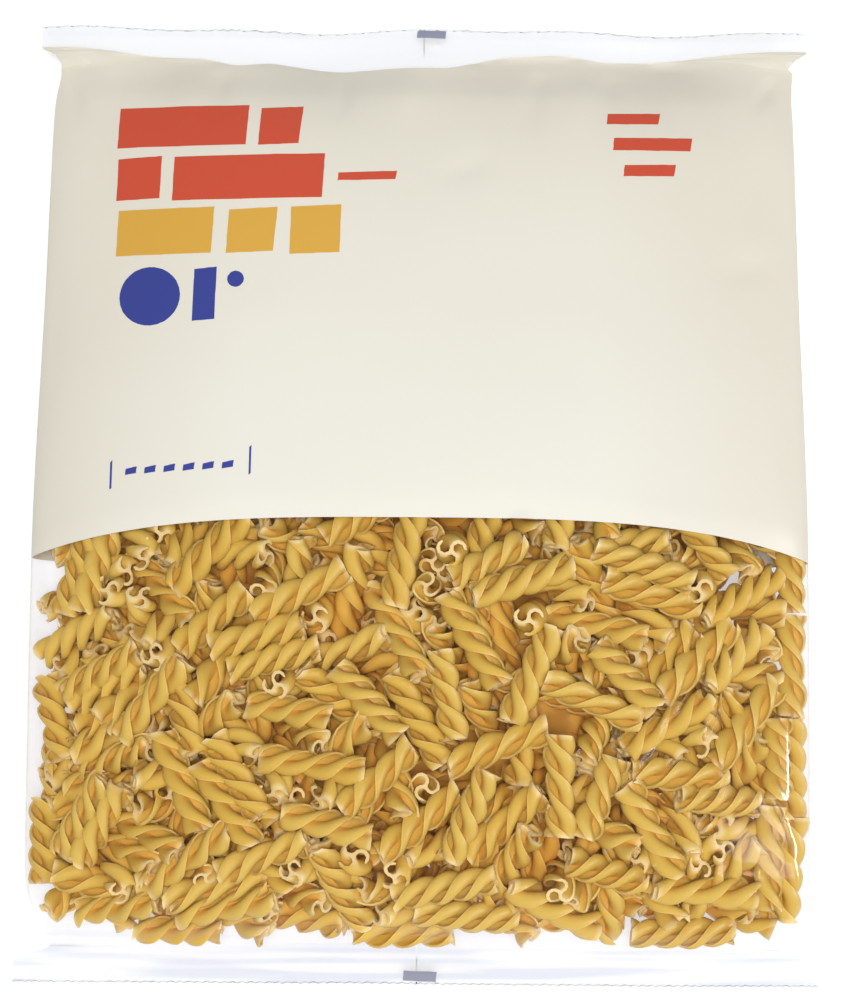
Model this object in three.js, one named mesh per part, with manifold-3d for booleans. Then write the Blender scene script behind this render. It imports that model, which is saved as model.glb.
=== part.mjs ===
// A one-kilogram pillow packet of dry fusilli, lying on its back with the printed side up.
//
// The packet is a tube of film, sealed flat at both ends. Its upper part is printed all over and can't
// be seen into, so there it is solid. Below the curved edge of the print the film is clear: the film
// shows as the thin back and sides that hold the fusilli, and the fusilli fill the window in the front.
//
// Millimetres. X runs across the packet, Y from the bottom seal to the top seal, and Z up from the
// surface that it lies on. The origin is in the middle of the flat back.
import * as THREE from "three";
import { mergeVertices } from "three/addons/utils/BufferGeometryUtils.js";
import Module from "manifold-3d";

const wasm = await Module();
wasm.setup();

// The film tube and its seals
const FLAT_WIDTH = 272; // half of a 575 mm web, less the back seam
const LENGTH = 334; // cut edge to cut edge, filled
const SEAL = 12.5; // height of each end seal
const SEAL_THICKNESS = 0.8;
const BODY_WIDTH = 266; // the filled tube is narrower than the flat one
const BOW = 1.5; // and its sides bow out by this in the middle
const FILM = 1.2; // wall round the contents
const CLEARANCE = 0.35; // between the film and the contents

// How far the contents round out the tube
const FULL_HEIGHT = 47; // over the fusilli
const SLACK_HEIGHT = 30; // under the top seal, where the packet is half empty
const SLACK_FROM = -20;
const SLACK_TO = 120;
const BELLY_Y = -62; // where it is fullest
const BELLY = 2.5; // and how much lower it is 100 mm from there
const SIDE_SHARE = 0.43; // height of the widest line, as a share of the height in the middle
const CROWN_POWER = 2.5;
const CROWN_ROUNDNESS = 0.62;
const FLAT_SHARE = 0.72; // part of the width that lies flat on the table

// Each end: height of the seal above the table, the length over which the body fills out and its
// back comes down, how much the corners of the body draw in, and how round its front is next to the
// seal. The bottom is blunt and square, because fusilli fill it right into its corners.
const BOTTOM = {
  sealHeight: 15,
  fillReach: 52,
  backReach: 24,
  cornerDraw: 8,
  cornerReach: 26,
  roundness: 0.38,
};
const TOP = {
  sealHeight: 10,
  fillReach: 74,
  backReach: 40,
  cornerDraw: 3,
  cornerReach: 20,
  roundness: CROWN_ROUNDNESS,
};
const EAR = 5; // length over which a seal spreads from the drawn-in corner to the full width
const WAVE_FADE = 34; // the ripples of a seal die out over this length of the body

// The lower edge of the print: an arch over the window
const PRINT_EDGE_Y = -12;
const PRINT_EDGE_DROP = 12;
const PRINT_EDGE_POWER = 3.4;

// One fusillo: three blades round an axis, turning left-handed
const FUSILLO_LENGTH = 34.5;
const BLADE_RADIUS = 5.6;
const VALLEY_RADIUS = 2.6;
const BLADES = 3;
const FUSILLO_TURNS = 1.05;
const FUSILLO_STEPS = 5;

// The fusilli that show in the window lie in one layer under the film, sunk into a smaller core
const CORE_DEPTH = 9.2; // from the film down to the core
const CORE_INSET = 0.6; // from the room's sides and back in to the core's
const FUSILLO_DEPTH = 5.6; // from the film down to the axis of a fusillo
const SPACING = 10.1; // between the axes of two fusilli
const TRIES = 9000; // places tried
const STEEP_SHARE = 0.1; // of the fusilli stand steeply
const STEEP = [0.6, 1.1]; // radians
const SEED = 41;

// Facets
const LOOP_STEPS = 20; // across the front, and as many across the back
const BODY_STATIONS = 24;
const CORE_STATIONS = 9;
const EDGE_STEPS = 24;
const GRID = 1 / 256; // corners are rounded to this
const HAIR = 0.01; // and moved by this where two would share a place

const COLOURS = { film: 0xe8e4d5, fusilli: 0xd9ad4a };

const bottomLine = -LENGTH / 2 + SEAL;
const topLine = LENGTH / 2 - SEAL;

const clamp01 = (t) => Math.min(1, Math.max(0, t));
const smooth = (t) => clamp01(t) ** 2 * (3 - 2 * clamp01(t));
const mix = (a, b, t) => a + (b - a) * t;

// A seeded source of even random numbers from 0 to 1
function randomSource(seed) {
  let state = seed;
  return () => {
    state = (state * 48271) % 2147483647;
    return state / 2147483647;
  };
}

// The nearer end of the packet, and how far y is inside that end's seal line
function nearestEnd(y) {
  const fromBottom = y - bottomLine;
  const fromTop = topLine - y;
  return fromBottom < fromTop ? [BOTTOM, fromBottom] : [TOP, fromTop];
}

// Half the width at y: drawn in at the corners of the body, and spread at the seals
function halfWidth(y) {
  const [end, inside] = nearestEnd(y);
  const bowed = BODY_WIDTH / 2 - BOW * ((2 * y) / LENGTH) ** 2;
  const drawn = bowed - end.cornerDraw * (1 - clamp01(inside / end.cornerReach)) ** 2;
  return mix(drawn, FLAT_WIDTH / 2, smooth(-inside / EAR));
}

// From 0 at a seal line to 1 where the end has filled out
const fillOut = (inside, reach) => (1 - (1 - clamp01(inside / reach)) ** 2.4) ** 0.8;

// The top, the back and the widest line of the cross-section at y
function section(y) {
  const [end, inside] = nearestEnd(y);
  const slack = smooth((y - SLACK_FROM) / (SLACK_TO - SLACK_FROM));
  const full = mix(FULL_HEIGHT - BELLY * ((y - BELLY_Y) / 100) ** 2, SLACK_HEIGHT, slack);
  const filled =
    fillOut(y - bottomLine, BOTTOM.fillReach) * fillOut(topLine - y, TOP.fillReach);
  const settled = clamp01(inside / end.backReach);
  return {
    width: halfWidth(y),
    crown: mix(end.sealHeight, full, filled),
    back: end.sealHeight * (1 - settled) ** 2,
    side: mix(end.sealHeight, SIDE_SHARE * full, smooth(inside / end.backReach)),
    roundness: mix(end.roundness, CROWN_ROUNDNESS, smooth(inside / end.fillReach)),
  };
}

// The ripples of the seals, which fade into the body
function ripple(x, y) {
  const [end, inside] = nearestEnd(y);
  const fade = (1 - clamp01(inside / WAVE_FADE)) ** 2;
  const wave =
    end === TOP
      ? 2.4 * Math.sin(x / 21 + 0.6) + 1.6 * Math.sin(x / 9.5 + 2)
      : 1.5 * Math.sin(x / 26 - 0.8) + 0.8 * Math.sin(x / 11);
  return wave * fade * smooth((1 - Math.abs(x) / halfWidth(y)) * 6 + (inside < 0 ? 1 : 0));
}

// Height of the front at a share of the half width
const frontHeight = (s, share) =>
  s.side + (s.crown - s.side) * (1 - Math.abs(share) ** CROWN_POWER) ** s.roundness;

// Height of the back at a share of the half width: flat, then rounding up to the widest line. The
// inset is measured square to it.
function backHeight(s, share, inset) {
  const round = clamp01((Math.abs(share) - FLAT_SHARE) / (1 - FLAT_SHARE));
  const level = Math.sqrt(1 - round ** 2);
  return s.back + (s.side - s.back) * (1 - level) + inset * level;
}

// The closed loop of the packet's cross-section at y. Inset moves the sides and back inwards, and
// lift moves the front up or down.
function loop(y, inset, lift) {
  const s = section(y);
  const points = [];
  for (let k = 0; k < 2 * LOOP_STEPS; k++) {
    const turn = (Math.PI * k) / LOOP_STEPS;
    const share = Math.cos(turn);
    const x = share * (s.width - inset);
    const front = k > 0 && k < LOOP_STEPS;
    const back = k > LOOP_STEPS;
    const under = backHeight(s, share, inset);
    const over = frontHeight({ ...s, crown: s.crown + lift }, share);
    const height = front ? Math.max(over, under + inset * 2) : under;
    const thickness = front ? SEAL_THICKNESS / 2 : back ? -SEAL_THICKNESS / 2 : 0;
    const near = 1 - smooth((height - s.side) ** 2);
    points.push([x, y, height + ripple(x, y) + thickness * near * thinness(y)]);
  }
  return points;
}

// 1 in a seal, where the front and the back would meet, and 0 in the body
const thinness = (y) => 1 - smooth(nearestEnd(y)[1] / 6);

// A closed skin over a row of loops that have as many points each, capped flat at both ends
function loft(loops) {
  const n = loops[0].length;
  const position = loops.flat(2);
  const index = [];
  for (let i = 0; i + 1 < loops.length; i++) {
    for (let k = 0; k < n; k++) {
      const a = i * n + k;
      const b = i * n + ((k + 1) % n);
      index.push(a, a + n, b, b, a + n, b + n);
    }
  }
  // Each cap is a strip of facets between the front and the back of its loop
  const last = (loops.length - 1) * n;
  for (let k = 0; k < n / 2; k++) {
    const [a, b, c, d] = [k, k + 1, (n - k) % n, n - k - 1];
    if (c !== a) {
      index.push(a, b, c);
      index.push(last + a, last + c, last + b);
    }
    if (d !== b) {
      index.push(b, d, c);
      index.push(last + b, last + c, last + d);
    }
  }
  return new THREE.BufferGeometry()
    .setAttribute("position", new THREE.Float32BufferAttribute(position, 3))
    .setIndex(index);
}

// Between a three.js geometry and a solid that can be joined and cut
function solid(geometry) {
  const bare = geometry.clone();
  bare.deleteAttribute("normal");
  bare.deleteAttribute("uv");
  const merged = mergeVertices(bare);
  return new wasm.Manifold(
    new wasm.Mesh({
      numProp: 3,
      vertProperties: merged.attributes.position.array,
      triVerts: new Uint32Array(merged.index.array),
    }),
  );
}

// The largest closed skin of a solid, which fills the pockets sealed inside it and drops loose scraps
function outerSkin(shape) {
  return shape.decompose().sort((a, b) => b.volume() - a.volume())[0];
}

// Facets that only touch have corners in one place, which a file of triangles would join. So each
// corner takes its own point of the grid: where that is taken, it moves inwards along its normal.
function geometryOf(shape) {
  const mesh = shape.getMesh();
  const geometry = new THREE.BufferGeometry()
    .setAttribute("position", new THREE.BufferAttribute(mesh.vertProperties, 3))
    .setIndex(new THREE.BufferAttribute(mesh.triVerts, 1));
  geometry.computeVertexNormals();
  const corners = geometry.getAttribute("position");
  const taken = new Set();
  for (let i = 0; i < corners.count; i++) {
    const corner = new THREE.Vector3().fromBufferAttribute(corners, i).divideScalar(GRID);
    const inwards = new THREE.Vector3().fromBufferAttribute(geometry.getAttribute("normal"), i);
    inwards.multiplyScalar(inwards.lengthSq() ? -HAIR / GRID : 0).addScalar(1e-3);
    const point = corner.clone().round();
    while (taken.has(point.toArray().join())) point.copy(corner.add(inwards)).round();
    taken.add(point.toArray().join());
    corners.setXYZ(i, ...point.multiplyScalar(GRID).toArray());
  }
  const split = geometry.toNonIndexed();
  split.computeVertexNormals();
  return split;
}

// Stations along the body, closer together towards the seals
function stations(from, to, count) {
  const middle = (from + to) / 2;
  return Array.from(
    { length: count + 1 },
    (_, i) => middle - ((to - from) / 2) * Math.cos((Math.PI * i) / count),
  );
}

// The packet's outside, with both seals
function outside() {
  const ys = [
    -LENGTH / 2,
    bottomLine - EAR,
    bottomLine - EAR / 2,
    ...stations(bottomLine, topLine, BODY_STATIONS),
    topLine + EAR / 2,
    topLine + EAR,
    LENGTH / 2,
  ];
  return solid(loft(ys.map((y) => loop(y, 0, 0))));
}

// The space inside the film, from the bottom seal to well under the print
function inside(inset, lift, count) {
  const from = bottomLine + 2 * FILM + 2 * inset;
  const ys = stations(from, SLACK_TO / 2, count);
  return solid(loft(ys.map((y) => loop(y, inset, lift))));
}

const printEdge = (x) =>
  PRINT_EDGE_Y - PRINT_EDGE_DROP * Math.abs((2 * x) / BODY_WIDTH) ** PRINT_EDGE_POWER;

// All that lies below the edge of the print, as a prism through the packet
function belowPrint(gap) {
  const shape = new THREE.Shape();
  shape.moveTo(-FLAT_WIDTH, -LENGTH);
  shape.lineTo(FLAT_WIDTH, -LENGTH);
  for (let k = 0; k <= EDGE_STEPS; k++) {
    const x = mix(BODY_WIDTH / 2, -BODY_WIDTH / 2, k / EDGE_STEPS);
    if (k === 0) shape.lineTo(FLAT_WIDTH, printEdge(x) - gap);
    shape.lineTo(x, printEdge(x) - gap);
    if (k === EDGE_STEPS) shape.lineTo(-FLAT_WIDTH, printEdge(x) - gap);
  }
  const prism = new THREE.ExtrudeGeometry(shape, { depth: 3 * FULL_HEIGHT, bevelEnabled: false });
  return solid(prism.translate(0, 0, -FULL_HEIGHT));
}

// One fusillo along X, with its middle at the origin
function fusillo(length, radius, turns) {
  const loops = [];
  for (let i = 0; i <= FUSILLO_STEPS; i++) {
    const t = i / FUSILLO_STEPS;
    const ring = [];
    for (let k = 0; k < 2 * BLADES; k++) {
      const angle = (-Math.PI * k) / BLADES - 2 * Math.PI * turns * t;
      const r = k % 2 ? VALLEY_RADIUS : radius;
      ring.push([(t - 0.5) * length, r * Math.cos(angle), r * Math.sin(angle)]);
    }
    loops.push(ring);
  }
  return loft(loops);
}

// The closest that two straight pieces come to each other, tested at points along them
function distance(a, b) {
  const along = [-0.5, -0.25, 0, 0.25, 0.5];
  let least = Infinity;
  for (const s of along) {
    for (const t of along) {
      const p = a.middle.clone().addScaledVector(a.axis, s * (FUSILLO_LENGTH - 2 * BLADE_RADIUS));
      const q = b.middle.clone().addScaledVector(b.axis, t * (FUSILLO_LENGTH - 2 * BLADE_RADIUS));
      least = Math.min(least, p.distanceTo(q));
    }
  }
  return least;
}

// A layer of fusilli at random places and headings
function scatter(random) {
  const placed = [];
  const reach = (FUSILLO_LENGTH / 2 - BLADE_RADIUS) * 0.9;
  for (let n = 0; n < TRIES; n++) {
    const y = mix(bottomLine + 7, PRINT_EDGE_Y - 7, random());
    const s = section(y);
    const x = mix(-1, 1, random()) * (s.width - BLADE_RADIUS - FILM);
    const heading = Math.PI * random();
    const tilt = random() < STEEP_SHARE ? mix(...STEEP, random()) : 0;
    const turn = random();
    const axis = new THREE.Vector3(
      Math.cos(heading) * Math.cos(tilt),
      Math.sin(heading) * Math.cos(tilt),
      Math.sin(tilt),
    );
    const ends = [-1, 1].map((side) => [x + side * reach * axis.x, y + side * reach * axis.y]);
    const fits = ends.every(
      ([u, v]) =>
        v > bottomLine + 6 &&
        v < printEdge(u) - 3 &&
        Math.abs(u) < halfWidth(v) - BLADE_RADIUS,
    );
    if (!fits) continue;
    // A piece lying under the film's slope follows it, and a steep one hangs below it by its upper end
    const heights = ends.map(([u, v]) => frontHeight(section(v), u / halfWidth(v)));
    const hang = FUSILLO_DEPTH * Math.cos(tilt) + (FUSILLO_LENGTH / 2) * Math.sin(tilt);
    const level = (heights[0] + heights[1]) / 2 - hang;
    if (!tilt) axis.z = (heights[1] - heights[0]) / (2 * reach);
    axis.normalize();
    const piece = { middle: new THREE.Vector3(x, y, level), axis, turn };
    if (placed.every((other) => distance(piece, other) > SPACING)) placed.push(piece);
  }
  return placed;
}

// The heap in the window: a core with the fusilli that show fused onto it
function fusilliHeap() {
  const solids = scatter(randomSource(SEED)).map(({ middle, axis, turn }) => {
    const shape = fusillo(
      FUSILLO_LENGTH * mix(0.92, 1.05, turn),
      BLADE_RADIUS * mix(1.03, 0.94, turn),
      FUSILLO_TURNS * mix(0.85, 1.15, turn),
    );
    const place = new THREE.Matrix4().compose(
      middle,
      new THREE.Quaternion()
        .setFromUnitVectors(new THREE.Vector3(1, 0, 0), axis)
        .multiply(new THREE.Quaternion().setFromAxisAngle(new THREE.Vector3(1, 0, 0), 7 * turn)),
      new THREE.Vector3(1, 1, 1),
    );
    return solid(shape.applyMatrix4(place));
  });
  const wall = FILM + CLEARANCE;
  const core = inside(wall + CORE_INSET, -CORE_DEPTH, CORE_STATIONS).intersect(
    belowPrint(CLEARANCE + CORE_INSET),
  );
  const space = inside(wall, FULL_HEIGHT, CORE_STATIONS).intersect(belowPrint(CLEARANCE));
  const heap = wasm.Manifold.union([core, ...solids]).intersect(space);
  return outerSkin(heap);
}

// The film: the whole packet, less the room for the fusilli that show
function filmBag() {
  const room = inside(FILM, FULL_HEIGHT, CORE_STATIONS).intersect(belowPrint(0));
  return outside().subtract(room);
}

function piece(name, shape, colour, roughness) {
  const material = new THREE.MeshStandardMaterial({ color: colour, roughness, metalness: 0 });
  const mesh = new THREE.Mesh(geometryOf(shape), material);
  mesh.name = name;
  return mesh;
}

const packet = new THREE.Group();
packet.add(piece("film_bag", filmBag(), COLOURS.film, 0.4));
packet.add(piece("fusilli", fusilliHeap(), COLOURS.fusilli, 0.6));

export default packet;
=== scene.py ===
# %% [markdown]
# # A one-kilogram packet of fusilli
#
# The object is a pillow packet, the cheapest way to sell dry pasta: one web of film is rolled into a
# tube, joined down its back with a lap, sealed and crimped across both ends, and filled in between.
# Its upper part is printed cream and hides what is inside. Its lower part is clear, so most of what
# the eye sees there isn't the packet at all but a few hundred fusilli pressed against thin film.
#
# The CAD model has the packet's size and form. Here it gets its real film, its real pasta and its
# finishes, in the same place and at the same size.

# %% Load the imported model
import math

import bpy
import numpy as np
from mathutils import Matrix, Vector


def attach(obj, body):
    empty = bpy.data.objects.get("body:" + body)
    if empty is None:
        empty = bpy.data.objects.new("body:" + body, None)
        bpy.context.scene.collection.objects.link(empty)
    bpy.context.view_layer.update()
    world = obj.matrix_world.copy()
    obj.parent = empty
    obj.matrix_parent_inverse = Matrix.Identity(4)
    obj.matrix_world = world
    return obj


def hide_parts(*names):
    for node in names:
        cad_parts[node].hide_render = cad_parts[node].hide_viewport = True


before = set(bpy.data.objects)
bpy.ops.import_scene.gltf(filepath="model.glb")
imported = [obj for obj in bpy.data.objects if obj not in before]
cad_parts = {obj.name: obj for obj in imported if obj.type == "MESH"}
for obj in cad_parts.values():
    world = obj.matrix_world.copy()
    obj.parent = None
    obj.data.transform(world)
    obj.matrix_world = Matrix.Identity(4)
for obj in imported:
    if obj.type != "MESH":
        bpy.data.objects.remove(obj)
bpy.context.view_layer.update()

# %% [markdown]
# ## Small tools
#
# Blender's operators act on whatever is selected, and loading the model leaves it selected. So each
# step below first clears the selection, picks one object and selects what it wants by place.

# %% Tools for selecting and reading meshes
MM = 0.001


def pick(obj):
    bpy.ops.object.select_all(action="DESELECT")
    obj.select_set(True)
    bpy.context.view_layer.objects.active = obj


def points_of(obj):
    flat = np.empty(len(obj.data.vertices) * 3)
    obj.data.vertices.foreach_get("co", flat)
    return flat.reshape(-1, 3)


def move_points(obj, points):
    obj.data.vertices.foreach_set("co", np.asarray(points).ravel())
    obj.data.update()


def select_faces(obj, chosen):
    """Selects faces by a list of true and false, in object mode."""
    mesh = obj.data
    mesh.vertices.foreach_set("select", np.zeros(len(mesh.vertices), bool))
    mesh.edges.foreach_set("select", np.zeros(len(mesh.edges), bool))
    mesh.polygons.foreach_set("select", np.asarray(chosen, bool))
    corners = {v for face in mesh.polygons if face.select for v in face.vertices}
    for v in corners:
        mesh.vertices[v].select = True


def apply_modifiers(obj):
    pick(obj)
    for modifier in list(obj.modifiers):
        bpy.ops.object.modifier_apply(modifier=modifier.name)


def triangles(obj):
    return sum(len(face.vertices) - 2 for face in obj.data.polygons)


def mark(obj, name, values):
    """Keeps a number for each point, which a material can read."""
    attribute = obj.data.attributes.new(name, "FLOAT", "POINT")
    attribute.data.foreach_set("value", np.asarray(values, np.float32))


# %% [markdown]
# ## The packet's form
#
# A filled pillow packet is flat at its two seals and fullest in between. One kilogram of fusilli
# doesn't fill this one: lying on its back it is 47 mm high over the pasta and slack under the top
# seal. These are the same sizes and the same curves that the CAD model is built from, in metres, so
# the film made from them lies where the solid does.

# %% Sizes of the film tube
FLAT_WIDTH = 272 * MM
LENGTH = 334 * MM
SEAL = 12.5 * MM
BODY_WIDTH = 266 * MM
BOW = 1.5 * MM  # how much narrower it is at the seals than in the middle
BOTTOM_LINE = -LENGTH / 2 + SEAL
TOP_LINE = LENGTH / 2 - SEAL

FULL_HEIGHT = 47 * MM
SLACK_HEIGHT = 30 * MM
SLACK_FROM = -20 * MM
SLACK_TO = 120 * MM
BELLY_Y = -62 * MM
BELLY = 2.5 * MM  # how far the height falls off 100 mm away from the fullest place
SIDE_SHARE = 0.43  # the side fold's height, as a share of the middle's
CROWN_POWER = 2.5
CROWN_ROUNDNESS = 0.62
FLAT_SHARE = 0.72  # of the back, which lies flat on the table

# What differs from the bottom end to the top end
SEAL_HEIGHT = (15 * MM, 10 * MM)
FILL_REACH = (52 * MM, 74 * MM)
BACK_REACH = (24 * MM, 40 * MM)
END_ROUNDNESS = (0.38, CROWN_ROUNDNESS)
CORNER_DRAW = (8 * MM, 3 * MM)
CORNER_REACH = (26 * MM, 20 * MM)
EAR = 5 * MM
WAVE_FADE = 34 * MM


# %% The curves of the cross-section
def clamp(t):
    return np.clip(t, 0, 1)


def smooth(t):
    return clamp(t) ** 2 * (3 - 2 * clamp(t))


def mix(a, b, t):
    return a + (b - a) * t


def at_end(pair, y):
    """The bottom's value below the middle of the packet, and the top's above it."""
    return np.where(y < 0, pair[0], pair[1])


def inside_of(y):
    """How far y is inside the nearer seal line. It is negative in a seal."""
    return np.minimum(y - BOTTOM_LINE, TOP_LINE - y)


def fill_out(inside, reach):
    return (1 - (1 - clamp(inside / reach)) ** 2.4) ** 0.8


def half_width(y):
    bowed = BODY_WIDTH / 2 - BOW * (2 * y / LENGTH) ** 2
    near = 1 - clamp(inside_of(y) / at_end(CORNER_REACH, y))
    drawn = bowed - at_end(CORNER_DRAW, y) * near**2
    return mix(drawn, FLAT_WIDTH / 2, smooth(-inside_of(y) / EAR))


def crown_height(y):
    slack = smooth((y - SLACK_FROM) / (SLACK_TO - SLACK_FROM))
    return mix(FULL_HEIGHT - BELLY * ((y - BELLY_Y) / (100 * MM)) ** 2, SLACK_HEIGHT, slack)


def front_height(x, y):
    filled = fill_out(y - BOTTOM_LINE, FILL_REACH[0]) * fill_out(TOP_LINE - y, FILL_REACH[1])
    crown = mix(at_end(SEAL_HEIGHT, y), crown_height(y), filled)
    side = side_height(y)
    share = np.minimum(1, np.abs(x) / half_width(y))
    settled = smooth(inside_of(y) / at_end(FILL_REACH, y))
    roundness = mix(at_end(END_ROUNDNESS, y), CROWN_ROUNDNESS, settled)
    return side + (crown - side) * (1 - share**CROWN_POWER) ** roundness


def side_height(y):
    settled = smooth(inside_of(y) / at_end(BACK_REACH, y))
    return mix(at_end(SEAL_HEIGHT, y), SIDE_SHARE * crown_height(y), settled)


def back_height(x, y):
    settled = clamp(inside_of(y) / at_end(BACK_REACH, y))
    back = at_end(SEAL_HEIGHT, y) * (1 - settled) ** 2
    share = np.minimum(1, np.abs(x) / half_width(y))
    level = np.sqrt(1 - clamp((share - FLAT_SHARE) / (1 - FLAT_SHARE)) ** 2)
    return back + (side_height(y) - back) * (1 - level)


def ripple(x, y):
    """The seals aren't straight: they ripple, and the ripples fade into the body."""
    fade = (1 - clamp(inside_of(y) / WAVE_FADE)) ** 2
    mm = x / MM
    top = 2.4 * np.sin(mm / 21 + 0.6) + 1.6 * np.sin(mm / 9.5 + 2)
    bottom = 1.5 * np.sin(mm / 26 - 0.8) + 0.8 * np.sin(mm / 11)
    ease = smooth((1 - np.abs(x) / half_width(y)) * 6 + (inside_of(y) < 0))
    return np.where(y < 0, bottom, top) * MM * fade * ease


PRINT_EDGE_Y = -12 * MM
PRINT_EDGE_DROP = 12 * MM
PRINT_EDGE_POWER = 3.4


def print_edge(x):
    """The lower edge of the print is an arch over the window."""
    return PRINT_EDGE_Y - PRINT_EDGE_DROP * clamp(np.abs(2 * x / BODY_WIDTH)) ** PRINT_EDGE_POWER


# %% [markdown]
# ## Packing the fusilli
#
# Fusilli that fall into a bag lie at every angle, touch each other and fill it evenly right out to
# the film. Blender's rigid bodies could drop them in, but hundreds of shapes with hollows in them are
# slow and never settle quite the same. A capsule can stand in for a fusillo, so this does what a
# shaking machine does: it starts with a tangle of capsules that overlap, and pushes each pair apart,
# a little at a time, while the film holds them in. It takes seconds and always ends the same.

# %% Sizes of a fusillo and of the room it has
FUSILLO_LENGTH = 35.0 * MM
FUSILLO_RADIUS = 5.8 * MM
CAPSULE_RADIUS = 4.4 * MM  # less than a fusillo's, because their blades sink into each other's grooves
REACH = FUSILLO_LENGTH / 2 - CAPSULE_RADIUS
FUSILLI = 436
WALL_GAP = 0.25 * MM
PRINT_GAP = 1.0 * MM  # more, where the film is printed and hides them
SEAL_GIVE = 3.0 * MM  # how far they lift the film next to the bottom seal
SEAL_GIVE_REACH = 26 * MM
SIDE_ROOM = 6.0 * MM  # from a capsule's axis to the fold of the film
BOTTOM_ROOM = 5.0 * MM  # and to the bottom seal
ROOM_TOP = 26 * MM  # how far up the packet the heap goes, hidden by the print

SETTLING_ROUNDS = 260
SETTLING_SEED = 5
PUSH_SHARE = 0.32  # of an overlap, undone in one round
MOST_PUSH = 2 * MM
STIFFNESS = 0.8  # how much of a push moves a fusillo without turning it
SHAKE = 0.5 * MM
START_MARGIN = 8 * MM
START_HEIGHT = 6 * MM  # from the film
SIDE_SPREAD = 0.86  # below 1 draws more of them to the sides
UPWARD_SPREAD = 0.75  # and to the front


# %% How two capsules push each other
def closest_points(a0, a1, b0, b1):
    """Where along each of two straight pieces they come nearest, and the way from one to the other."""
    along_a, along_b, start = a1 - a0, b1 - b0, a0 - b0
    aa = (along_a * along_a).sum(-1)
    bb = (along_b * along_b).sum(-1)
    ab = (along_a * along_b).sum(-1)
    a_start = (along_a * start).sum(-1)
    b_start = (along_b * start).sum(-1)
    square = aa * bb - ab * ab
    s = clamp(np.where(square > 1e-14, (ab * b_start - a_start * bb) / np.maximum(square, 1e-14), 0.5))
    t = clamp((ab * s + b_start) / bb)
    s = clamp((ab * t - a_start) / aa)
    return s, t, (a0 + along_a * s[:, None]) - (b0 + along_b * t[:, None])


def push_apart(tails, heads, first, second, radius):
    s, t, apart = closest_points(tails[first], heads[first], tails[second], heads[second])
    distance = np.linalg.norm(apart, axis=1) + 1e-9
    push = apart / distance[:, None] * (np.maximum(0, 2 * radius - distance) * PUSH_SHARE)[:, None]
    moves = []
    for share_a, share_b in ((1 - s, 1 - t), (s, t)):
        move = np.zeros_like(tails)
        np.add.at(move, first, push * share_a[:, None])
        np.add.at(move, second, -push * share_b[:, None])
        size = np.linalg.norm(move, axis=1, keepdims=True)
        moves.append(move * np.minimum(1, MOST_PUSH / np.maximum(size, 1e-9)))
    together = (moves[0] + moves[1]) / 2
    tails += mix(moves[0], together, STIFFNESS)
    heads += mix(moves[1], together, STIFFNESS)


# %% How the film holds a capsule in
def outwards(surface, x, y, sign):
    step = 0.1 * MM
    slope_x = (surface(x + step, y) - surface(x - step, y)) / (2 * step)
    slope_y = (surface(x, y + step) - surface(x, y - step)) / (2 * step)
    normal = np.stack([-slope_x * sign, -slope_y * sign, np.full_like(slope_x, sign)], -1)
    return normal / np.linalg.norm(normal, axis=-1, keepdims=True)


def hold_in(tails, heads, swell):
    """Moves each capsule's ends and middle in, until the whole fusillo is clear of the film."""
    axis = (heads - tails) / (2 * REACH)
    for share in (0.0, 0.5, 1.0):
        p = mix(tails, heads, share)
        end_reach = (FUSILLO_LENGTH / 2 - REACH) * (2 * share - 1)
        move = np.zeros_like(p)
        for surface, sign in ((front_height, 1), (back_height, -1)):
            out = outwards(surface, p[:, 0], p[:, 1], sign)
            lean = (axis * out).sum(1)
            gap = np.maximum(0, lean * end_reach) + FUSILLO_RADIUS * np.sqrt(np.maximum(0, 1 - lean**2))
            room = (surface(p[:, 0], p[:, 1]) - p[:, 2]) * sign * np.abs(out[:, 2])
            hidden = PRINT_GAP * smooth((p[:, 1] - print_edge(p[:, 0]) + 8 * MM) / (8 * MM))
            give = SEAL_GIVE * smooth(1 - (p[:, 1] - BOTTOM_LINE) / SEAL_GIVE_REACH) * (sign > 0)
            move += out * np.minimum(0, room + give - swell * gap - WALL_GAP - hidden)[:, None]
        over = np.maximum(0, np.abs(p[:, 0]) - (half_width(p[:, 1]) - SIDE_ROOM))
        low = np.maximum(0, BOTTOM_LINE + BOTTOM_ROOM - p[:, 1])
        high = np.maximum(0, p[:, 1] - ROOM_TOP)
        move += np.stack([-over * np.sign(p[:, 0]), low - high, 0 * low], 1)
        tails += move * (1 - share)
        heads += move * share


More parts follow.
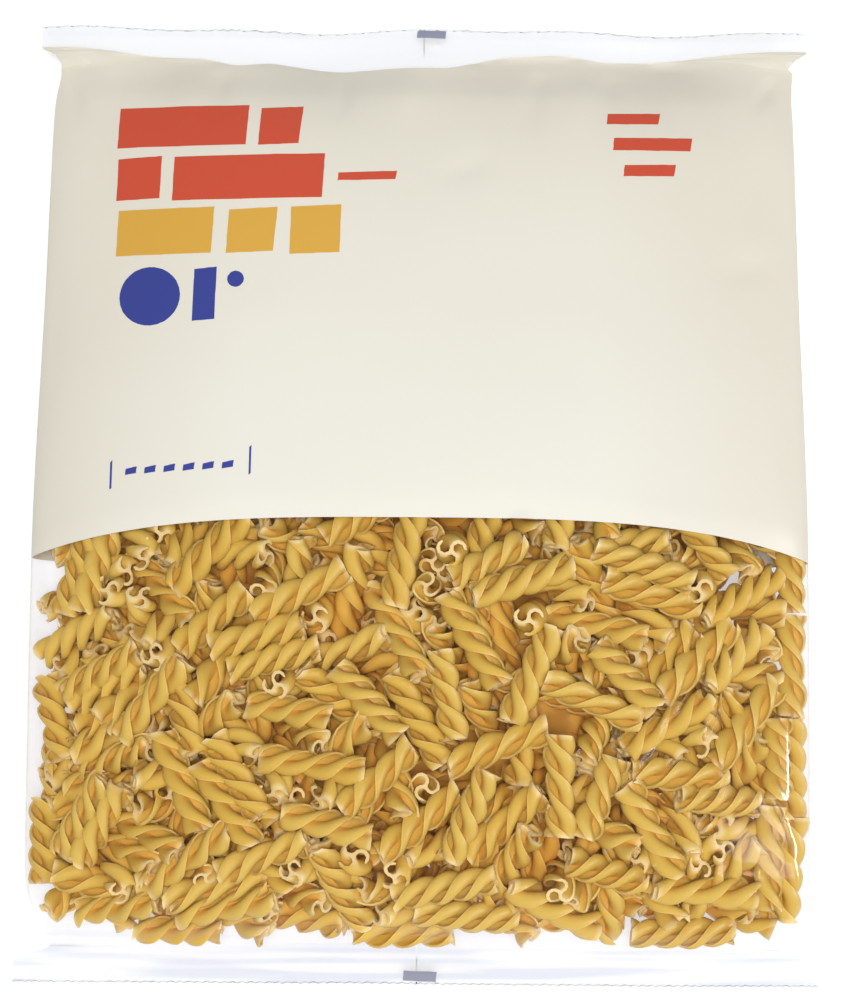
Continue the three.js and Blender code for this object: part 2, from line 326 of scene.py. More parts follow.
# %% Shake the packet until the fusilli have settled
def settle(count, rounds, seed):
    chance = np.random.default_rng(seed)
    y = chance.uniform(BOTTOM_LINE + START_MARGIN, ROOM_TOP - START_MARGIN, count)
    across = chance.uniform(-1, 1, count)
    x = np.sign(across) * np.abs(across) ** SIDE_SPREAD * 0.97 * BODY_WIDTH / 2
    level = chance.uniform(0, 1, count) ** UPWARD_SPREAD
    z = mix(back_height(x, y) + START_HEIGHT, front_height(x, y) - START_HEIGHT, level)
    axis = chance.normal(size=(count, 3)) * [1, 1, 0.85]
    axis /= np.linalg.norm(axis, axis=1, keepdims=True)
    middle = np.stack([x, y, z], 1)
    tails, heads = middle - axis * REACH, middle + axis * REACH
    for n in range(rounds):
        radius = CAPSULE_RADIUS * min(1, 0.45 + 0.55 * n / (0.6 * rounds))
        if n % 8 == 0:
            middle = (tails + heads) / 2
            apart = np.linalg.norm(middle[:, None] - middle[None], axis=-1)
            near = apart < 2 * REACH + 2 * CAPSULE_RADIUS + 4 * MM
            first, second = np.nonzero(np.triu(near, 1))
        if n < rounds // 2:
            shake = chance.normal(0, SHAKE, heads.shape)
            heads += shake
            tails -= shake
        push_apart(tails, heads, first, second, radius)
        hold_in(tails, heads, radius / CAPSULE_RADIUS)
        middle, axis = (tails + heads) / 2, heads - tails
        axis /= np.linalg.norm(axis, axis=1, keepdims=True)
        tails, heads = middle - axis * REACH, middle + axis * REACH
    return middle, axis


FUSILLI_MIDDLE, FUSILLI_AXIS = settle(FUSILLI, SETTLING_ROUNDS, SETTLING_SEED)
under_film = front_height(FUSILLI_MIDDLE[:, 0], FUSILLI_MIDDLE[:, 1]) - FUSILLI_MIDDLE[:, 2]
print(FUSILLI, "fusilli settled,", int((under_film < 9 * MM).sum()), "of them under the front film")

# %% [markdown]
# ## The film
#
# A pillow packet really is one flat web rolled round what it holds, so that is how it is modelled: a
# fine grid is the web, its columns running along the tube and its rows round it. Each column gets
# its place round the cross-section, with columns evenly spaced along the film, not along the table.
# Rows are close together in the two seals, where the crimping jaws leave narrow ribs.

# %% Columns of the web, from one edge of the back lap round to the other
FRONT_COLUMNS = 190
BACK_COLUMNS = 44  # on each side of the lap
LAP = 5 * MM  # half the width of the back lap
LAP_STEP = 0.3 * MM


def even_shares(height, start, stop, count):
    """Shares of the half width that are evenly spaced along the film."""
    shares = np.linspace(start, stop, 4001)
    across = shares * half_width(BELLY_Y)
    up = height(across, np.full_like(across, BELLY_Y))
    along = np.concatenate([[0], np.cumsum(np.hypot(np.diff(across), np.diff(up)))])
    return np.interp(np.linspace(0, along[-1], count + 1), along, shares)


lap_share = LAP / (BODY_WIDTH / 2)
inner_back = even_shares(back_height, lap_share, -1, BACK_COLUMNS)
front = even_shares(front_height, -1, 1, FRONT_COLUMNS)
outer_back = even_shares(back_height, 1, -lap_share, BACK_COLUMNS)
SHARES = np.concatenate([inner_back, front[1:], outer_back[1:]])
ON_FRONT = np.zeros(len(SHARES), bool)
ON_FRONT[BACK_COLUMNS : BACK_COLUMNS + FRONT_COLUMNS + 1] = True
ON_INNER_LAP = np.arange(len(SHARES)) < BACK_COLUMNS

# %% Rows of the web, close together in the seals
SEAL_ROWS = 30
BODY_ROWS = 150
ROWS = np.concatenate(
    [
        np.linspace(-LENGTH / 2, BOTTOM_LINE, SEAL_ROWS + 1),
        np.linspace(BOTTOM_LINE, TOP_LINE, BODY_ROWS + 1)[1:],
        np.linspace(TOP_LINE, LENGTH / 2, SEAL_ROWS + 1)[1:],
    ]
)
print("the web has", len(SHARES), "columns and", len(ROWS), "rows")

# %% [markdown]
# The print stops at an arch over the window, and at a wavy line just below the top seal. Cutting the
# grid along those curves would leave slivers, so rows are bent instead: one row is pulled onto each
# curve and its neighbours follow it a little less each. The print's edge is then a clean row of edges.

# %% Where the print ends
# Below the top seal, as places across and up in millimetres
TOP_EDGE = [
    (-136, 159.5), (-117, 158.5), (-99, 156.5), (-80, 156), (-69, 153), (-56, 155), (-31, 151.5),
    (-10, 152), (9, 152), (28, 157), (48, 157.5), (66, 155.5), (99, 158.5), (128, 160), (136, 160),
]
MIDDLE_OF_TOP_EDGE = 155.5 * MM
BACK_EDGE_LOWER = 1.2 * MM  # than the front's, so that the back doesn't show above it
TOP_EDGE_REACH = 115 * MM  # rows below this aren't bent by the top edge
PRINT_EDGE_REACH = 70 * MM


def top_edge(x):
    across, up = np.array(TOP_EDGE).T * MM
    fine = np.linspace(-136, 136, 545) * MM
    line = np.interp(fine, across, up)
    soft = np.convolve(np.pad(line, 12, "edge"), np.hanning(25) / np.hanning(25).sum(), "valid")
    return np.interp(x, fine, soft)


EDGE_ROW = int(np.argmin(np.abs(ROWS - (PRINT_EDGE_Y - PRINT_EDGE_DROP / 2))))
TOP_ROW = int(np.argmin(np.abs(ROWS - MIDDLE_OF_TOP_EDGE)))


def bend_rows(x, front_side):
    """The height along the packet of every row, in each column."""
    y = np.repeat(ROWS[:, None], len(x), 1)
    edge = np.where(front_side, print_edge(x), print_edge(BODY_WIDTH / 2))
    near = smooth(1 - np.abs(y - ROWS[EDGE_ROW]) / PRINT_EDGE_REACH)
    y = y + (edge - ROWS[EDGE_ROW]) * near
    above = clamp((LENGTH / 2 - ROWS) / (LENGTH / 2 - ROWS[TOP_ROW]))
    below = clamp((ROWS - TOP_EDGE_REACH) / (ROWS[TOP_ROW] - TOP_EDGE_REACH))
    near = np.minimum(above, below)[:, None]
    top = top_edge(x) - np.where(front_side, 0, BACK_EDGE_LOWER)
    return y + (top - ROWS[TOP_ROW]) * near

# %% [markdown]
# Film is never as smooth as the curve it follows. Four things show on the real one: soft dents and
# folds fan out below the top seal, where a full-width tube is gathered onto a flat line; a few sharp
# creases run in from the clear corners; the crimped seals have fine ribs across; and over the window
# the film sinks a little into each gap between two fusilli, which breaks up its reflections.

# %% Folds and dents of the printed front
# Each is a place in millimetres, a heading in degrees, half a length, a width and a depth.
FOLDS = [
    (-71, 147, 88, 13, 3.2, -1.0), (-84, 140, 96, 20, 5, 0.7), (-28, 141, 82, 14, 2.8, -0.9),
    (-6, 143, 95, 17, 5, 0.8), (40, 143, 80, 22, 4.2, -1.2), (55, 139, 84, 18, 5, 0.7),
    (66, 148, 90, 13, 3, -0.9), (90, 144, 98, 16, 6, 0.6), (15, 112, 20, 14, 5, -0.7),
    (112, 78, 15, 15, 5, -0.7), (122, 146, 62, 15, 2.6, -1.3), (128, 136, 112, 16, 2.4, -1.0),
    (-124, 142, 115, 14, 3, -0.9), (-112, 120, 100, 26, 7, -0.5), (118, 108, 84, 22, 6, -0.6),
    (-128, 60, 92, 30, 4, -0.5), (126, 20, 88, 34, 5, -0.7), (-60, 60, 10, 26, 9, 0.35),
    (50, 40, 165, 30, 10, -0.35), (0, 80, 70, 40, 12, 0.3),
]


def folds(x, y):
    depth = np.zeros_like(x)
    for fold_x, fold_y, heading, length, width, deep in FOLDS:
        dx, dy = x / MM - fold_x, y / MM - fold_y
        c, s = math.cos(math.radians(heading)), math.sin(math.radians(heading))
        along, across = dx * c + dy * s, -dx * s + dy * c
        depth += deep * np.exp(-((across / width) ** 2)) * clamp(1 - (along / length) ** 2) ** 2
    waves = 0.30 * np.sin(x / MM / 17 + y / MM / 29) + 0.22 * np.sin(x / MM / 31 - y / MM / 15 + 1.3)
    return (depth + waves * smooth(inside_of(y) / (30 * MM))) * MM


# %% Creases of the clear film, pulled tight from its corners
# Each runs from one place to another in millimetres, with a width and a height.
CREASES = [
    (117.4, -101.7, 130.2, -123, 1.7, 1.0), (126.4, -125, 133, -143, 1.7, 1.0),
    (112, -138, 126, -149, 1.8, 0.5), (-118, -146, -128, -128, 1.8, 0.6),
    (-131, -60, -129, -96, 1.6, 0.5), (60, -150, 84, -143, 1.8, 0.5),
    (-60, -150, -38, -144, 1.8, 0.5), (128, -40, 131, -78, 1.6, 0.5),
]
TAUT_REACH = 5  # millimetres either side of a crease


def creases(x, y):
    """How high the creases stand, and how taut the film is round them, from 0 to 1."""
    height, taut = np.zeros_like(x), np.zeros_like(x)
    for start_x, start_y, stop_x, stop_y, width, high in CREASES:
        dx, dy = stop_x - start_x, stop_y - start_y
        t = clamp(((x / MM - start_x) * dx + (y / MM - start_y) * dy) / (dx**2 + dy**2))
        away = np.hypot(x / MM - start_x - t * dx, y / MM - start_y - t * dy)
        fade = np.sqrt(np.sin(math.pi * clamp(0.08 + 0.84 * t)))
        height = np.maximum(height, high * MM * np.exp(-((away / width) ** 2)) * fade)
        taut = np.maximum(taut, np.exp(-((away / TAUT_REACH) ** 2)))
    return height, taut


# %% Ribs of the crimped seals
RIB_PITCH = 1.65 * MM
RIB_DEPTH = 0.13 * MM
SHEET_GAP = 0.14 * MM  # between the two sheets of a seal
TOOTH = 0.5 * MM  # of the zigzag that cuts one packet from the next


def ribs(y):
    starts = smooth((-inside_of(y) - 0.6 * MM) / (1 * MM))
    stops = smooth((LENGTH / 2 - np.abs(y)) / (1.2 * MM))
    return RIB_DEPTH * np.sin(2 * math.pi * y / RIB_PITCH) * starts * stops


# %% How far the film sinks between the fusilli
SAG_SHARE = 0.5
MOST_SAG = 1.7 * MM
CLEAR_OF_HEAP = 0.4 * MM  # where a fusillo would poke through, the film is lifted this far over it


def heap_top(x, y):
    """The height of the highest fusillo over each point, taking a fusillo for a capsule."""
    top = np.full_like(x, -1.0)
    tails = FUSILLI_MIDDLE - FUSILLI_AXIS * REACH
    heads = FUSILLI_MIDDLE + FUSILLI_AXIS * REACH
    for tail, head in zip(tails, heads):
        low, high = np.minimum(tail, head) - 6 * MM, np.maximum(tail, head) + 6 * MM
        near = (x > low[0]) & (x < high[0]) & (y > low[1]) & (y < high[1])
        if not near.any():
            continue
        along = (head - tail)[:2]
        flat = np.stack([x[near] - tail[0], y[near] - tail[1]], -1)
        t = clamp(flat @ along / max(along @ along, 1e-12))
        away = np.linalg.norm(flat - t[:, None] * along, axis=1)
        lift = np.sqrt(np.maximum(0, (FUSILLO_RADIUS + 0.1 * MM) ** 2 - away**2))
        over = np.where(lift > 0, tail[2] + t * (head[2] - tail[2]) + lift, -1)
        top[near] = np.maximum(top[near], over)
    return top


def sum_around(grid):
    wide = np.pad(grid, 1, "edge")
    return wide[:-2, 1:-1] + wide[2:, 1:-1] + wide[1:-1, :-2] + wide[1:-1, 2:]


def soften(grid, times):
    for _ in range(times):
        grid = (grid * 2 + sum_around(grid)) / 6
    return grid


def sag(x, y, z):
    """How far the film sinks at each point. It is negative where a fusillo lifts the film."""
    top = heap_top(x, y)
    gap = soften(np.clip(z - top, 0, MOST_SAG), 6) * SAG_SHARE
    lift = np.maximum(0, top + CLEAR_OF_HEAP - z)
    for _ in range(4):
        lift = np.maximum(lift, sum_around(lift) / 4)
    return np.where(lift > 0, -lift, gap * (1 - smooth(soften(lift, 4) / (0.2 * MM))))


# %% Roll the web round the fusilli
DRAWN_IN = 1.5 * MM  # of the slack upper part, on each side
DRAWN_IN_FROM = -40 * MM
DRAWN_IN_REACH = 120 * MM
RIGHT_EAR = 2.6 * MM  # the top right corner is pulled out further down than the left one
FUSED_FADE = 14 * MM
LAP_PULL_FROM = 25 * MM  # how far from the lap the film is pulled to it
LAP_PULL_REACH = 30 * MM
LATE_RISE = 0.62  # the front rises late from the top seal, then steeply
LATE_RISE_REACH = 16 * MM

bpy.ops.object.select_all(action="DESELECT")
bpy.ops.mesh.primitive_grid_add(
    x_subdivisions=len(SHARES) - 1, y_subdivisions=len(ROWS) - 1, size=1, location=(0, 0, 0)
)
web = bpy.context.object
flat = points_of(web)
column = np.rint((flat[:, 0] + 0.5) * (len(SHARES) - 1)).astype(int)
row = np.rint((flat[:, 1] + 0.5) * (len(ROWS) - 1)).astype(int)

web_y = bend_rows(SHARES * BODY_WIDTH / 2, ON_FRONT)
inside = inside_of(web_y)
side = SHARES[None]
web_x = side * half_width(web_y)
drawn_in = DRAWN_IN * smooth((web_y - DRAWN_IN_FROM) / DRAWN_IN_REACH) * smooth(inside / (7 * MM))
ear = RIGHT_EAR * smooth(1 - inside / (17 * MM)) * smooth(inside / (3 * MM)) * (web_y > 0)
web_x = web_x - side * drawn_in + np.maximum(0, side) ** 6 * ear

# In the clear parts the lap is fused, so there its two edges nearly meet
lap_from = smooth((web_y - print_edge(BODY_WIDTH / 2)) / FUSED_FADE)
lap_to = smooth((TOP_LINE - 4 * MM - web_y) / FUSED_FADE)
fused = 1 - lap_from * lap_to
way = np.where(ON_INNER_LAP, -1, 1)[None]
to_lap = np.where(ON_FRONT[None], 0, clamp((LAP_PULL_FROM - way * web_x) / LAP_PULL_REACH))
web_x = web_x + way * to_lap * fused * (LAP - 0.1 * MM)

over = front_height(web_x, web_y)
under = back_height(web_x, web_y)
sheet = SHEET_GAP * (1 - smooth(inside / (6 * MM))) * np.sqrt(1 - side**2)
printed = smooth((web_y - print_edge(web_x)) / (12 * MM)) * smooth((TOP_LINE - web_y) / (10 * MM))
window = 1 - smooth((web_y - print_edge(web_x) + 2 * MM) / (10 * MM))
window *= smooth((web_y - BOTTOM_LINE) / (9 * MM))
flank = smooth((1 - np.abs(side)) * 14)
late = mix(1, LATE_RISE, 1 - smooth(inside / LATE_RISE_REACH))
level = at_end(SEAL_HEIGHT, web_y)
over = np.where((web_y > 0) & (inside > 0), level + (over - level) * late, over)
over = over + sheet + folds(web_x, web_y) * printed * flank

columns = slice(BACK_COLUMNS, BACK_COLUMNS + FRONT_COLUMNS + 1)
sink = np.zeros_like(over)
sink[:, columns] = sag(web_x[:, columns], web_y[:, columns], over[:, columns])
ridge, taut = creases(web_x, web_y)
over = over - sink * window * flank * np.where(sink > 0, 1 - 0.8 * taut, 1) + ridge * flank
lap = LAP_STEP * smooth((web_x + LAP + 3 * MM) / (3 * MM)) * ON_INNER_LAP[None] * (1 - fused)
under = under - sheet + lap
web_z = np.where(ON_FRONT[None], over, under) + ripple(web_x, web_y) + ribs(web_y)
web_z = np.maximum(web_z, 0.01 * MM)
zigzag = np.where(np.arange(len(SHARES)) % 2, TOOTH, -TOOTH)
web_y[0] -= zigzag - TOOTH
web_y[-1] += zigzag - TOOTH
move_points(web, np.stack([web_x[row, column], web_y[row, column], web_z[row, column]], 1))
print("the film stands", round(float(web_z.max()), 4), "m high")
print("and sinks up to", round(float(sink.max()), 5), "m between two fusilli")

# %% Turn the web's faces out, and cut it where the print ends
pick(web)
bpy.ops.object.mode_set(mode="EDIT")
bpy.ops.mesh.select_all(action="SELECT")
bpy.ops.mesh.normals_make_consistent(inside=False)
bpy.ops.object.mode_set(mode="OBJECT")
faces = np.array([face.vertices[:] for face in web.data.polygons])
face_row = row[faces].min(1)
top_of_front = max(web.data.polygons, key=lambda face: face.center.z)
if top_of_front.normal.z < 0:
    bpy.ops.object.mode_set(mode="EDIT")
    bpy.ops.mesh.select_all(action="SELECT")
    bpy.ops.mesh.flip_normals()
    bpy.ops.object.mode_set(mode="OBJECT")
select_faces(web, (face_row >= EDGE_ROW) & (face_row < TOP_ROW))
bpy.ops.object.mode_set(mode="EDIT")
bpy.ops.mesh.separate(type="SELECTED")
bpy.ops.object.mode_set(mode="OBJECT")
printed_film = next(obj for obj in bpy.context.selected_objects if obj is not web)
printed_film.name = "printed_film"
web.name = "clear_film"
clear_film = web

# %% Give the film its thickness
FILM_THICKNESS = 0.1 * MM

for film in (printed_film, clear_film):
    pick(film)
    wall = film.modifiers.new("Film thickness", "SOLIDIFY")
    wall.thickness = FILM_THICKNESS
    wall.offset = -1
    apply_modifiers(film)
    bpy.ops.object.shade_smooth_by_angle(angle=math.radians(60))
    print(film.name, "has", triangles(film), "triangles")

# %% [markdown]
# ## One fusillo
#
# A fusillo is pressed through a die whose hole is a three-armed pinwheel, and turns as it comes out.
# So it is made the same way: a circle is pulled into the shape of the hole, and a Screw modifier
# carries it along the axis while it turns. Each arm curls round into an open loop. From the side that
# gives a row of broad leaves, each with a thin edge, and from the end three small hooks, as in the
# photo. Four fusilli are made, none quite alike.

# %% The die: a circle pulled into a three-armed pinwheel
ARMS = 3
BLADE_THICKNESS = 1.2 * MM
EDGE_THICKNESS = 0.75 * MM
LOBE_OUT = 2.75 * MM  # from the axis to the middle of the loop that an arm makes
LOBE_RADIUS = FUSILLO_RADIUS - LOBE_OUT
# Turns round the loop, in degrees. 0 points straight out, and 180 back to the axis.
BACK_STOP = 135
HOLLOW = 210
INSIDE_START = 172
BACK_POINTS = 6
INSIDE_POINTS = 5
ARM_POINTS = BACK_POINTS + INSIDE_POINTS + 1


def arm_outline(edge):
    """One arm: from the hollow before it, out inside its loop, round its edge, and back outside."""
    inside = np.linspace(INSIDE_START, edge, INSIDE_POINTS)
    thickness = mix(EDGE_THICKNESS, BLADE_THICKNESS, smooth((inside - edge) / 60))
    turns = np.radians(np.concatenate([[HOLLOW], inside, np.linspace(edge, BACK_STOP, BACK_POINTS)]))
    radii = np.full(ARM_POINTS, LOBE_RADIUS)
    radii[0] -= BLADE_THICKNESS
    radii[1 : 1 + INSIDE_POINTS] -= thickness
    return np.stack([LOBE_OUT + radii * np.cos(turns), radii * np.sin(turns)], 1)


def pull_die(edge):
    bpy.ops.object.select_all(action="DESELECT")
    bpy.ops.mesh.primitive_circle_add(vertices=ARMS * ARM_POINTS, radius=FUSILLO_RADIUS)
    die = bpy.context.object
    arm = arm_outline(edge)
    places = []
    for k in range(ARMS):
        turn = 2 * math.pi * k / ARMS
        c, s = math.cos(turn), math.sin(turn)
        places += [(x * c - y * s, x * s + y * c, 0) for x, y in arm]
    circle = points_of(die)
    around = np.argsort(np.mod(np.arctan2(circle[:, 1], circle[:, 0]) + 1e-6, 2 * math.pi))
    shaped = np.empty((len(places), 3))
    shaped[around] = places
    move_points(die, shaped)
    return die


# %% Press it out, turning
FUSILLO_STEPS = 18
# Turns, where an arm's loop ends in degrees, waver along the length, and slant of the cut ends
FUSILLO_KINDS = [
    (1.30, -38, 0.03, 0.12),
    (1.18, -18, 0.07, -0.16),
    (1.40, -52, 0.05, 0.08),
    (1.24, -30, 0.09, -0.10),
]


def edge_heading(edge):
    """Where an arm's edge lies, seen from the axis, in radians."""
    turn = math.radians(edge)
    return math.atan2(LOBE_RADIUS * math.sin(turn), LOBE_OUT + LOBE_RADIUS * math.cos(turn))


def press_fusillo(name, turns, edge, waver, slant):
    fusillo = pull_die(edge)
    fusillo.name = name
    screw = fusillo.modifiers.new("Pressed and turned", "SCREW")
    screw.axis = "Z"
    screw.angle = -2 * math.pi * turns
    screw.screw_offset = FUSILLO_LENGTH
    screw.steps = screw.render_steps = FUSILLO_STEPS
    apply_modifiers(fusillo)
    points = points_of(fusillo)
    level = points[:, 2] / FUSILLO_LENGTH
    straight = np.arctan2(points[:, 1], points[:, 0]) + 2 * math.pi * turns * level
    away = np.mod(straight - edge_heading(edge) + math.pi / ARMS, 2 * math.pi / ARMS) - math.pi / ARMS
    on_edge = (np.abs(away) < 0.09) & (np.hypot(points[:, 0], points[:, 1]) > 0.7 * FUSILLO_RADIUS)
    mark(fusillo, "edge", on_edge)
    breathe = 1 - waver + waver * np.sin(level * 9 + turns * 20)
    points[:, :2] *= breathe[:, None]
    points[:, 2] -= FUSILLO_LENGTH / 2
    near_end = np.abs(2 * level - 1) ** 4
    points[:, 2] += slant * (points[:, 0] + 0.6 * np.sin(level * 6) * points[:, 1]) * near_end
    move_points(fusillo, points)
    bpy.ops.object.mode_set(mode="EDIT")
    bpy.ops.mesh.select_mode(type="EDGE")
    bpy.ops.mesh.select_all(action="DESELECT")
    bpy.ops.mesh.select_non_manifold(extend=False, use_wire=False, use_multi_face=False)
    bpy.ops.mesh.edge_face_add()
    bpy.ops.mesh.select_all(action="SELECT")
    bpy.ops.mesh.normals_make_consistent(inside=False)
    bpy.ops.mesh.quads_convert_to_tris(quad_method="BEAUTY", ngon_method="BEAUTY")
    bpy.ops.object.mode_set(mode="OBJECT")
    return fusillo


kinds = [press_fusillo("fusillo_kind_" + str(n), *kind) for n, kind in enumerate(FUSILLO_KINDS)]
for kind in kinds:
    size = np.ptp(points_of(kind), axis=0) / MM
    print(kind.name, "measures", np.round(size, 1), "mm, with", triangles(kind), "triangles")

# %% [markdown]
# ## The heap
#
# Each capsule that settled becomes one of the four kinds of fusillo, rolled about its own axis by
# chance, a little longer or shorter, and a little bent. Hundreds of separate objects would be slow,
# so they are joined into three meshes, by how deep they lie. Five numbers stay on each point for
# the finish: how far out it is, whether it is on a blade's edge or a cut end, how deep it lies in
# the heap, and its piece's tone.

# %% Put a fusillo where each capsule settled
SHADE_FROM = 7 * MM  # below the film
SHADE_REACH = 13 * MM


def fusillo_shape(kind):
    points = points_of(kind)
    faces = np.array([face.vertices[:] for face in kind.data.polygons])
    out = np.hypot(points[:, 0], points[:, 1]) / FUSILLO_RADIUS
    cut = smooth((np.abs(points[:, 2]) / (FUSILLO_LENGTH / 2) - 0.97) / 0.02)
    edge = np.empty(len(points), np.float32)
    kind.data.attributes["edge"].data.foreach_get("value", edge)
    return points, faces, out, cut, edge


def lay_fusilli(name, chosen, shapes, chance):
    all_points, all_faces = [], []
    kept = {"blade": [], "cut": [], "edge": [], "depth": [], "tone": []}
    count = 0
    for n in chosen:
        points, faces, out, ends, rims = shapes[chance.integers(len(shapes))]
        along = Vector(FUSILLI_AXIS[n]).to_track_quat("Z", "Y").to_matrix()
        turn = along @ Matrix.Rotation(chance.uniform(0, 2 * math.pi), 3, "Z")
        size = chance.uniform(0.94, 1.01)
        shaped = points * [size, size, 1.01 - 0.24 * chance.uniform() ** 2]
        bend = chance.normal(0, 1.2)
        shaped[:, 0] += bend * shaped[:, 2] ** 2
        shaped = shaped @ np.array(turn).T + FUSILLI_MIDDLE[n]
        all_points.append(shaped)
        all_faces.append(faces + count)
        below = front_height(shaped[:, 0], shaped[:, 1]) - shaped[:, 2]
        kept["blade"].append(out)
        kept["cut"].append(ends)
        kept["edge"].append(rims)
        kept["depth"].append(smooth((below - SHADE_FROM) / SHADE_REACH))
        kept["tone"].append(np.full(len(points), chance.uniform(0, 1)))
        count += len(points)
    mesh = bpy.data.meshes.new(name)
    mesh.from_pydata(np.concatenate(all_points).tolist(), [], np.concatenate(all_faces).tolist())
    heap = bpy.data.objects.new(name, mesh)
    bpy.context.scene.collection.objects.link(heap)
    for number, values in kept.items():
        mark(heap, number, np.concatenate(values))
    pick(heap)
    bpy.ops.object.shade_smooth_by_angle(angle=math.radians(55))
    return heap


shapes = [fusillo_shape(kind) for kind in kinds]
by_depth = np.argsort(under_film)
chance = np.random.default_rng(12)
heaps = [
    lay_fusilli("fusilli_" + name, chosen, shapes, chance)
    for name, chosen in zip(("upper", "middle", "lower"), np.array_split(by_depth, 3))
]
for kind in kinds:
    bpy.data.objects.remove(kind)
for heap in heaps:
    print(heap.name, "has", triangles(heap), "triangles")

# %% [markdown]
# ## The core of painted shade
#
# Between the fusilli the eye looks down into brown shade, not onto the table. Real pasta gets that
# from its own depth; here a lumpy core low in the heap stands in for the deeper fusilli, and its
# brown is painted shade. It is a sphere squashed to the room's own curves, well inside the outer
# fusilli, so that near the edges and the bottom seal, where the real heap is one piece deep, the
# white table still shows through the gaps.

# %% Model the core of painted shade
CORE_HALF_WIDTH = 100 * MM
CORE_FROM = BOTTOM_LINE + 42 * MM
CORE_TO = 12 * MM
CORE_LEVEL = 0.36  # of the way from the back to the front
CORE_HALF_HEIGHT = 5 * MM

bpy.ops.object.select_all(action="DESELECT")
bpy.ops.mesh.primitive_uv_sphere_add(segments=48, ring_count=24, radius=1, location=(0, 0, 0))
core = bpy.context.object
core.name = "painted_shade_core"
ball = points_of(core)
squared = np.sign(ball[:, :2]) * np.abs(ball[:, :2]) ** 0.6
core_x = squared[:, 0] * CORE_HALF_WIDTH
core_y = mix(CORE_FROM, CORE_TO, (squared[:, 1] + 1) / 2)
core_middle = mix(back_height(core_x, core_y), front_height(core_x, core_y), CORE_LEVEL)
move_points(core, np.stack([core_x, core_y, core_middle + ball[:, 2] * CORE_HALF_HEIGHT], 1))
bpy.ops.object.shade_smooth_by_angle(angle=math.radians(60))
print("the core has", triangles(core), "triangles")

# %% [markdown]
# ## The print
#
# The real print is lettering, which is left out. In its place are plain shapes that look cut from
# coloured paper: strips and squares with edges that aren't quite parallel. Each one starts as a grid,
# is bisected along its four edges, laid onto the film with a Shrinkwrap modifier so that it follows
# every fold, and given the thickness of ink.

# %% How a patch of ink is cut and laid on the film
INK = 0.05 * MM
INK_CELL = 1.2 * MM
INK_FROM = 80 * MM  # the height that patches come down from


def cut_patch(corners):
    """A flat patch with these corners in millimetres, anticlockwise, with no inward corner."""
    corners = np.array(corners) * MM
    low, high = corners.min(0) - MM, corners.max(0) + MM
    cells = np.maximum(2, np.rint((high - low) / INK_CELL).astype(int))
    bpy.ops.object.select_all(action="DESELECT")
    across, up = int(cells[0]), int(cells[1])
    bpy.ops.mesh.primitive_grid_add(x_subdivisions=across, y_subdivisions=up, size=1, location=(0, 0, 0))
    patch = bpy.context.object
    move_points(patch, points_of(patch) * [*(high - low), 1] + [*((high + low) / 2), INK_FROM])
    bpy.ops.object.mode_set(mode="EDIT")
    for start, stop in zip(corners, np.roll(corners, -1, 0)):
        along = (stop - start) / np.linalg.norm(stop - start)
        bpy.ops.mesh.select_all(action="SELECT")
        bpy.ops.mesh.bisect(
            plane_co=(*start, 0), plane_no=(along[1], -along[0], 0), clear_outer=True, clear_inner=False
        )
    bpy.ops.object.mode_set(mode="OBJECT")
    return patch


def lay_ink(name, patches, film):
    pick(patches[0])
    for patch in patches:
        patch.select_set(True)
    bpy.ops.object.join()
    ink = bpy.context.object
    ink.name = name
    wrap = ink.modifiers.new("On the film", "SHRINKWRAP")
    wrap.target = film
    wrap.wrap_method = "PROJECT"
    wrap.use_project_z = True
    wrap.use_negative_direction = True
    wrap.use_positive_direction = False
    wrap.offset = INK / 2
    body = ink.modifiers.new("Ink", "SOLIDIFY")
    body.thickness = INK
    body.offset = 1
    apply_modifiers(ink)
    bpy.ops.object.shade_smooth_by_angle(angle=math.radians(50))
    print(name, "has", triangles(ink), "triangles and", len(patches), "patches")
    return ink


def strip(left, right, low, high, slant=0.0):
    """A hand-cut strip: its ends lean, and its long edges aren't quite parallel."""
    lean = 0.8 + slant
    return [(left, low), (right - lean, low + 0.6), (right, high + 0.3), (left + lean * 0.6, high - 0.5)]


def round_patch(x, y, radius, sides):
    turns = [2 * math.pi * (k + 0.3) / sides for k in range(sides)]
    return [(x + radius * math.cos(t), y + radius * math.sin(t)) for t in turns]


# %% Lay the print
red = [
    strip(-107, -61, 120, 135.6),
    strip(-57.5, -42, 120.4, 135.2, 0.6),
    strip(-106.6, -91, 100.6, 116.4, -0.4),
    strip(-87, -34, 100.2, 116.8),
    strip(-29.5, -9, 107.0, 110.4, -0.3),
    strip(64, 83, 129.4, 134.0),
    strip(66, 94, 119.4, 124.6),
    strip(69.5, 88, 109.8, 114.4),
]
yellow = [
    strip(-106, -72, 80.4, 97.4),
    strip(-67.6, -50, 80.8, 97.0, 0.5),
    strip(-45.6, -28, 80.2, 97.8, -0.4),
]
blue = [
    round_patch(-93.5, 65.6, 10.6, 28),
    strip(-78.5, -70.5, 56.4, 75.6, -0.5),
    round_patch(-63.9, 71.4, 2.9, 18),
    strip(-104.8, -104.1, -2.2, 7.6, -0.8),
    strip(-57.4, -56.7, 2.2, 12.2, -0.8),
]
DASH_STEP = 6.6
DASH_RISE = 0.35
for n in range(6):
    left, low = -99.5 + DASH_STEP * n, 2.6 + DASH_RISE * n
    blue.append(strip(left, left + 4, low, low + 2.6, -0.6))
grey_marks = [
    [(-2.6, 163.4), (7.6, 163.2), (7.8, 166.0), (-2.4, 166.0)],
    [(-4.6, -165.6), (6.6, -166.0), (6.8, -162.6), (-4.4, -162.3)],
]
PRINT = [
    ("print_red", red, printed_film),
    ("print_yellow", yellow, printed_film),
    ("print_blue", blue, printed_film),
    ("print_grey", grey_marks, clear_film),
]
inks = {}
for name, shapes_of_ink, film in PRINT:
    inks[name] = lay_ink(name, [cut_patch(corners) for corners in shapes_of_ink], film)

